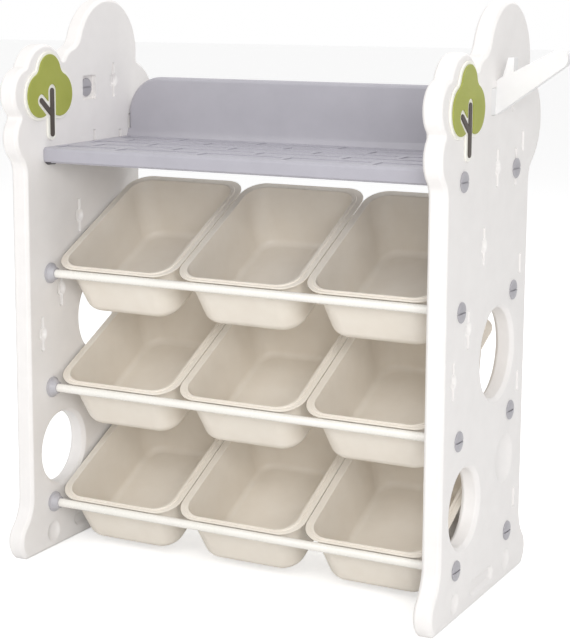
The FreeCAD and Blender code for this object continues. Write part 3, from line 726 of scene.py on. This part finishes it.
@dataclass
class EndFittings:
    """Collars on the panels' inner faces and slotted caps on their outer faces."""

    collar_radius_mm: float = 16.0
    shelf_collar_radius_mm: float = 10.5
    collar_tip_mm: float = 9.2
    collar_length_mm: float = 12.0
    flange_mm: float = 3.4
    flange_edge_mm: float = 0.5
    flange_land_mm: float = 1.0
    cone_share: float = 0.3
    tip_edge_mm: tuple[float, float] = (0.1, 0.4)
    cap_outline_mm: tuple[tuple[float, float], ...] = ((0.0, 0.0), (14.2, 0.0), (14.5, 0.3), (14.5, 1.3),
                                                       (14.0, 2.0), (11.6, 2.9), (7.25, 3.45), (0.0, 3.6))
    slot_width_mm: float = 2.6
    slot_floor_mm: float = 1.4
    slot_half_length_mm: float = 13.3
    steps: int = 48

    def build(self) -> None:
        """Make every collar and cap."""
        for side in Side:
            self.collars(side)
            self.caps(side)
        self.recess_caps()

    @staticmethod
    def facing(direction: float, face_x: float, middle: Vector) -> Matrix:
        """Place of a fitting on a panel's face.

        Args:
            direction: 1 where the fitting points along +X, -1 where it points along -X.
            face_x: X of the face.
            middle: Point whose Y and Z it takes.

        Returns:
            The move of a fitting whose back is at X = 0.
        """
        return Matrix.Translation((face_x, middle.y, middle.z)) @ Matrix.Diagonal((direction, 1, 1, 1))

    def collar(self, radius_mm: float) -> bmesh.types.BMesh:
        """Flange with a coned nose, its back at X = 0.

        Args:
            radius_mm: Flange radius.

        Returns:
            The collar's bmesh.
        """
        tip, end, edge = self.collar_tip_mm, self.collar_length_mm, self.flange_edge_mm
        neck = radius_mm - (radius_mm - tip) * self.cone_share
        tip_out, tip_down = self.tip_edge_mm
        outline = [(0.0, 0.0), (radius_mm - edge, 0.0), (radius_mm, edge),
                   (radius_mm, self.flange_mm - self.flange_land_mm), (neck, self.flange_mm),
                   (tip + tip_out, end - tip_down), (tip, end), (0.0, end)]
        return turned_body([(r * MM, h * MM) for r, h in outline], self.steps)

    def cap(self) -> bmesh.types.BMesh:
        """Domed cap with a straight screwdriver slot along Y, its underside at X = 0.

        Returns:
            The cap's bmesh.
        """
        whole = turned_body([(r * MM, h * MM) for r, h in self.cap_outline_mm], self.steps)
        result = bmesh.new()
        half = self.slot_width_mm * MM / 2.0
        for sign in (-1.0, 1.0):
            part = whole.copy()
            cut = bmesh.ops.bisect_plane(part, geom=part.verts[:] + part.edges[:] + part.faces[:],
                                         plane_co=(0, 0, sign * half), plane_no=(0, 0, -sign),
                                         clear_outer=True)
            rim = [g for g in cut["geom_cut"] if isinstance(g, bmesh.types.BMEdge)]
            bmesh.ops.contextual_create(part, geom=rim)
            add_copy(result, part, Matrix.Identity(4))
            part.free()
        radius, level = self.slot_half_length_mm, self.slot_floor_mm
        floor = [(0.0, 0.0), (radius, 0.0), (radius, level), (0.0, level)]
        base = turned_body([(r * MM, h * MM) for r, h in floor], self.steps)
        add_copy(result, base, Matrix.Identity(4))
        base.free()
        whole.free()
        bmesh.ops.recalc_face_normals(result, faces=result.faces)
        return result

    def collars(self, side: Side) -> None:
        """Collars of one panel: those of the rows, and those under the shelf, coloured dark as painted shade.

        Args:
            side: Whose panel it is.
        """
        node = side.node("tube_collars")
        low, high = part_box(node)
        face_x = high.x if side is Side.RIGHT else low.x
        rows, shelf = bmesh.new(), bmesh.new()
        for tube in TUBES:
            under_shelf = tube in SHELF_TUBES
            single = self.collar(self.shelf_collar_radius_mm if under_shelf else self.collar_radius_mm)
            add_copy(shelf if under_shelf else rows, single,
                     self.facing(-side.value, face_x, middle_of(tube)))
            single.free()
        finish_object(node + "_moulded", rows, COLLAR_ABS.material(), ROOT_BODY, [node])
        # The collars under the shelf get a dark colour that paints in the shelf's shadow.
        finish_object(node + "_under_shelf", shelf, SHELF_COLLAR_PAINTED_SHADE.material(), ROOT_BODY,
                      [])

    def caps(self, side: Side) -> None:
        """Caps of one panel's outer face, as one piece of separate bodies.

        Args:
            side: Whose panel it is.
        """
        node = side.node("screw_caps")
        low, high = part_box(node)
        face_x = low.x if side is Side.RIGHT else high.x
        single = self.cap()
        result = bmesh.new()
        for tube in TUBES:
            add_copy(result, single, self.facing(side.value, face_x, middle_of(tube)))
        single.free()
        finish_object(node + "_moulded", result, CAP_ABS.material(), ROOT_BODY, [node])

    def recess_caps(self) -> None:
        """Caps of the arm's two fixing places: the right panel's inner face and the left recess."""
        low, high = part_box("recess_caps")
        single = self.cap()
        result = bmesh.new()
        for direction, face_x in ((-1.0, high.x), (1.0, low.x)):
            add_copy(result, single, self.facing(direction, face_x, middle_of("recess_caps")))
        single.free()
        finish_object("recess_caps_moulded", result, CAP_ABS.material(), ROOT_BODY,
                      ["recess_caps"])


# ------------------------------------------------------------------ shelf and board
@dataclass
class Shelf:
    """Grey shelf tray and its back board."""

    edge_bevel_mm: float = 3.0
    board_bevel_mm: float = 3.5
    top_zone_mm: float = 5.0
    roll_segments: int = 3

    def build(self) -> None:
        """Make the tray and the board."""
        tray = merged_copy("shelf_tray")
        top_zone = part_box("shelf_tray")[1].z - self.top_zone_mm * MM

        def on_top(edge: bmesh.types.BMEdge) -> bool:
            """Whether an edge is at the tray's top, away from its ribs and saddles."""
            return min(vert.co.z for vert in edge.verts) > top_zone

        ease(tray, edges_between(tray, *CHAMFER_DEG, on_top), roll_width(self.edge_bevel_mm),
             self.roll_segments)
        finish_object("shelf_moulding", tray, SHELF_POLYPROPYLENE.material(), ROOT_BODY,
                      ["shelf_tray"])
        board = merged_copy("shelf_back_board")
        ease(board, edges_between(board, *CHAMFER_DEG), roll_width(self.board_bevel_mm), self.roll_segments)
        finish_object("back_board_moulding", board, BOARD_POLYPROPYLENE.material(), ROOT_BODY,
                      ["shelf_back_board"])


# ------------------------------------------------------------------ bins
@dataclass
class Bins:
    """Cream tubs with stepped rims. Sizes are in millimetres, in a tub's own level frame.

    bead_round and mouth_round hold a round's radius and how far its middle is from the corner it replaces;
    edge_cut is that distance as a share of edge_round.
    """

    tilt_deg: float = 25.8
    width: float = 210.4
    rim_front: float = 3.0
    rim_rear: float = 276.0
    rim_corner: float = 36.0
    rim_base: float = 6.8
    flange: float = 2.9
    bead: float = 1.7
    bead_width: float = 5.0
    side_lip: float = 13.4
    rear_lip: float = 15.6
    front_lip: float = 6.4
    wall: float = 2.6
    corner: float = 30.0
    side_draft: float = 12.5
    front_draft: float = 7.0
    rear_draft: float = 24.0
    floor_round: float = 14.0
    inner_floor_round: float = 9.0
    floor_level: float = -82.4
    edge_round: float = 1.1
    edge_cut: float = 0.3
    step_fillet: float = 0.5
    bead_round: tuple[float, float] = (0.7, 0.2)
    mouth_round: tuple[float, float] = (0.9, 0.25)
    under_lip: float = 0.8
    least_corner: float = 5.0
    corner_share: float = 0.45
    corner_steps: int = 10
    roll_steps: int = 7

    def build(self) -> None:
        """Make the nine bins."""
        for row in Row:
            for column in Column:
                self.bin(row, column)

    def skin(self, inset: float, height: float, roll: float) -> tuple[float, float, float, float, float]:
        """Rounded rectangle of a tub wall at a height.

        Args:
            inset: Distance in from the outer skin.
            height: Height in the level frame.
            roll: Further step inward, along the floor's round.

        Returns:
            Half width, front, rear, corner radius and height.
        """
        top = self.rim_base + self.flange + self.bead
        floor = self.floor_level + inset
        share = (top - height) / (top - floor)
        x_top = self.width / 2.0 - self.side_lip + self.wall - inset
        front = self.rim_front + self.front_lip - self.wall + inset
        rear = self.rim_rear - self.rear_lip + self.wall - inset
        return (x_top - self.side_draft * share - roll, front + self.front_draft * share + roll,
                rear - self.rear_draft * share - roll,
                max(self.corner + self.wall - inset - roll, self.least_corner), height)

    def floor_stations(self, inset: float) -> list[tuple[float, float, float, float, float]]:
        """Rings of the round between floor and wall, from the floor outwards.

        Args:
            inset: Distance in from the outer skin: 0, or the wall for the inside.

        Returns:
            Half width, front, rear, corner radius and height of each ring.
        """
        radius = self.inner_floor_round if inset else self.floor_round + self.wall
        floor = self.floor_level + inset
        rings = []
        for step in range(self.roll_steps + 1):
            angle = math.pi / 2.0 * (1.0 - step / self.roll_steps)
            rings.append(self.skin(inset, floor + radius * (1.0 - math.sin(angle)),
                                   radius * (1.0 - math.cos(angle))))
        return rings

    def rim_stations(self) -> list[tuple[float, float, float, float, float]]:
        """Rings over the stepped rim, from under the flange to the opening."""
        def ring(inward: float, height: float) -> tuple[float, float, float, float, float]:
            """Ring at a distance in from the rim's outline."""
            return (self.width / 2.0 - inward, self.rim_front + inward * self.front_lip / self.side_lip,
                    self.rim_rear - inward * self.rear_lip / self.side_lip,
                    self.rim_corner - inward * self.corner_share, height)

        base, top = self.rim_base, self.rim_base + self.flange
        peak = top + self.bead
        lip, step, fillet = self.side_lip, self.side_lip - self.bead_width, self.step_fillet
        soft, cut = self.edge_round, self.edge_cut * self.edge_round
        bead, bead_cut = self.bead_round
        mouth, mouth_cut = self.mouth_round
        return [
            ring(soft, base), ring(cut, base + cut), ring(0.0, base + soft),
            ring(0.0, top - soft), ring(cut, top - cut), ring(soft, top),
            ring(step - fillet, top), ring(step, top + fillet), ring(step, peak - bead),
            ring(step + bead_cut, peak - bead_cut), ring(step + bead, peak),
            ring(lip - mouth, peak), ring(lip - mouth_cut, peak - mouth_cut),
        ]

    def bin(self, row: Row, column: Column) -> bpy.types.Object:
        """One bin, extruded ring by ring from its outer floor to its inner one, and set on its tubes.

        Args:
            row: Its row.
            column: Its column.

        Returns:
            The finished bin.
        """
        node = f"bin_{row.value}_{column.value}"
        mesh = bmesh.new()
        peak = self.rim_base + self.flange + self.bead
        stations = [*self.floor_stations(0.0), self.skin(0.0, self.rim_base - self.under_lip, 0.0),
                    self.skin(-self.under_lip, self.rim_base, 0.0), *self.rim_stations(),
                    self.skin(self.wall, peak - self.mouth_round[0], 0.0),
                    *self.floor_stations(self.wall)[::-1]]
        lofted_rings(mesh, [tuple(value * MM for value in ring) for ring in stations], self.corner_steps)
        seat = middle_of(row.value + "_front_tube")
        seat.x = middle_of(node).x
        place = Matrix.Translation(seat) @ Matrix.Rotation(math.radians(self.tilt_deg), 4, "X")
        bmesh.ops.transform(mesh, matrix=place, verts=mesh.verts)
        return finish_object(node + "_tub", mesh, BIN_POLYPROPYLENE.material(), node, [node])


# ------------------------------------------------------------------ arm and badges
@dataclass
class HangerArm:
    """White hanging arm on the right panel."""

    edge_mm: float = 2.0
    round_segments: int = 3
    seat_slack_mm: float = 0.1

    def build(self) -> None:
        """Round the arm's edges on a copy of its solid, apart from the plug's in the panel."""
        mesh = merged_copy("hanger_arm")
        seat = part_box("right_side_panel")[1].x - self.seat_slack_mm * MM

        def outside(edge: bmesh.types.BMEdge) -> bool:
            """Whether an edge is outside the panel."""
            return min(vert.co.x for vert in edge.verts) > seat

        ease(mesh, edges_between(mesh, *CORNER_DEG, outside), self.edge_mm, self.round_segments)
        finish_object("hanger_arm_moulding", mesh, ARM_ABS.material(), ROOT_BODY,
                      ["hanger_arm"])


@dataclass
class TreeBadges:
    """Tree figures in three layers: border, crown and trunk."""

    edge_mm: float = 0.7
    round_segments: int = 2

    def build(self) -> None:
        """Round the layers' edges on copies of their solids."""
        layers = (("tree_backings", BADGE_BORDER, "badge_border_plastic"),
                  ("tree_crowns", BADGE_GREEN, "badge_green_plastic"),
                  ("tree_trunks", BADGE_TRUNK, "badge_trunk_plastic"))
        for node, finish, slot in layers:
            mesh = merged_copy(node)
            ease(mesh, edges_between(mesh, *LAYER_DEG), self.edge_mm, self.round_segments)
            finish_object(node + "_moulded", mesh, finish.material(), ROOT_BODY, [node])


# ------------------------------------------------------------------ studio
@dataclass(frozen=True)
class Softbox:
    """Square soft lamp. Lengths in metres, power in watts."""

    name: str
    place: tuple[float, float, float]
    aim: tuple[float, float, float]
    size: float
    power: float

    def build(self) -> None:
        """Hang the lamp and turn it to what it lights."""
        data = bpy.data.lights.new(self.name, "AREA")
        data.size = self.size
        data.energy = self.power
        lamp = bpy.data.objects.new(self.name, data)
        lamp.location = Vector(self.place)
        lamp.rotation_euler = (Vector(self.aim) - Vector(self.place)).to_track_quat("-Z", "Y").to_euler()
        bpy.context.scene.collection.objects.link(lamp)


@dataclass
class Studio:
    """Camera at the photograph's angle, pale floor and soft lamps. Lengths in metres."""

    camera_place: tuple[float, float, float] = (1.12993, -2.26116, 0.88064)
    yaw_deg: float = 28.825
    pitch_deg: float = 9.368
    focal_px: float = 1714.06
    centre_px: tuple[float, float] = (231.72, 265.93)
    sensor_mm: float = 36.0
    far_clip: float = 100.0
    floor_size: float = 40.0
    floor_colour: str = "#F6F6F6"
    floor_roughness: float = 0.9
    floor_lift: float = 0.45
    sky_strength: float = 0.49
    lamps: tuple[Softbox, ...] = (
        Softbox("front_softbox", (-0.9, -3.2, 2.3), (0.0, 0.0, 0.4), 2.2, 33.0),
        Softbox("right_softbox", (2.1, -3.0, 1.6), (0.0, 0.0, 0.4), 1.6, 60.0),
        Softbox("top_softbox", (0.0, 0.2, 3.4), (0.0, 0.0, 0.4), 2.4, 23.0),
        Softbox("back_softbox", (0.5, 2.4, 2.8), (0.0, 0.0, 0.5), 2.4, 28.0),
    )

    def build(self) -> None:
        """Make the camera, floor, world and lamps."""
        self.camera()
        self.floor()
        self.world()
        for lamp in self.lamps:
            lamp.build()
        bpy.context.scene.view_settings.view_transform = "Standard"

    def camera(self) -> None:
        """Camera solved from the photograph's perspective."""
        data = bpy.data.cameras.new("photo_camera")
        long_side = max(IMAGE_WIDTH, IMAGE_HEIGHT)
        data.sensor_width = self.sensor_mm
        data.lens = self.focal_px * data.sensor_width / long_side
        data.shift_x = (IMAGE_WIDTH / 2.0 - self.centre_px[0]) / long_side
        data.shift_y = (self.centre_px[1] - IMAGE_HEIGHT / 2.0) / long_side
        data.clip_end = self.far_clip
        camera = bpy.data.objects.new("photo_camera", data)
        camera.location = self.camera_place
        camera.rotation_euler = (math.radians(90.0 - self.pitch_deg), 0.0, math.radians(self.yaw_deg))
        bpy.context.scene.collection.objects.link(camera)
        bpy.context.scene.camera = camera

    def floor(self) -> None:
        """Large pale floor that belongs to the studio."""
        mesh = bmesh.new()
        bmesh.ops.create_grid(mesh, x_segments=1, y_segments=1, size=self.floor_size / 2.0)
        data = bpy.data.meshes.new("studio_floor")
        mesh.to_mesh(data)
        mesh.free()
        material = bpy.data.materials.new("matt_white_sweep")
        material.use_nodes = True
        tree = material.node_tree
        tree.nodes.clear()
        matt = add_node(tree, "ShaderNodeBsdfPrincipled",
                        {"in:Base Color": linear(self.floor_colour), "in:Roughness": self.floor_roughness},
                        {})
        glow = add_node(tree, "ShaderNodeEmission",
                        {"in:Color": (1.0, 1.0, 1.0, 1.0), "in:Strength": self.floor_lift}, {})
        both = add_node(tree, "ShaderNodeAddShader", {},
                        {0: matt.outputs["BSDF"], 1: glow.outputs["Emission"]})
        rays = add_node(tree, "ShaderNodeLightPath", {}, {})
        pick = add_node(tree, "ShaderNodeMixShader", {},
                        {0: rays.outputs["Is Camera Ray"], 1: matt.outputs["BSDF"],
                         2: both.outputs["Shader"]})
        add_node(tree, "ShaderNodeOutputMaterial", {}, {"Surface": pick.outputs["Shader"]})
        data.materials.append(material)
        floor = bpy.data.objects.new("studio_floor", data)
        bpy.context.scene.collection.objects.link(floor)

    def world(self) -> None:
        """White surroundings: full white to the eye and to gloss, dimmer as a light."""
        world = bpy.data.worlds.new("white_studio")
        bpy.context.scene.world = world
        world.use_nodes = True
        tree = world.node_tree
        tree.nodes.clear()
        rays = add_node(tree, "ShaderNodeLightPath", {}, {})
        seen = add_node(tree, "ShaderNodeMath", {"operation": "MAXIMUM"},
                        {0: rays.outputs["Is Camera Ray"], 1: rays.outputs["Is Glossy Ray"]})
        level = add_node(tree, "ShaderNodeMapRange", {"in:To Min": self.sky_strength, "in:To Max": 1.0},
                         {"Value": seen.outputs["Value"]})
        sky = add_node(tree, "ShaderNodeBackground", {"in:Color": (1.0, 1.0, 1.0, 1.0)},
                       {"Strength": level.outputs["Result"]})
        add_node(tree, "ShaderNodeOutputWorld", {}, {"Surface": sky.outputs["Background"]})


def main() -> None:
    """Build every sub-assembly."""
    logging.basicConfig(level=logging.INFO)
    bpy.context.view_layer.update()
    parts = (SidePanels(), Tubes(), EndFittings(), Shelf(), Bins(), HangerArm(), TreeBadges(), Studio())
    for part in parts:
        LOG.info("building %s", type(part).__name__)
        part.build()


if __name__ == "__main__":
    main()
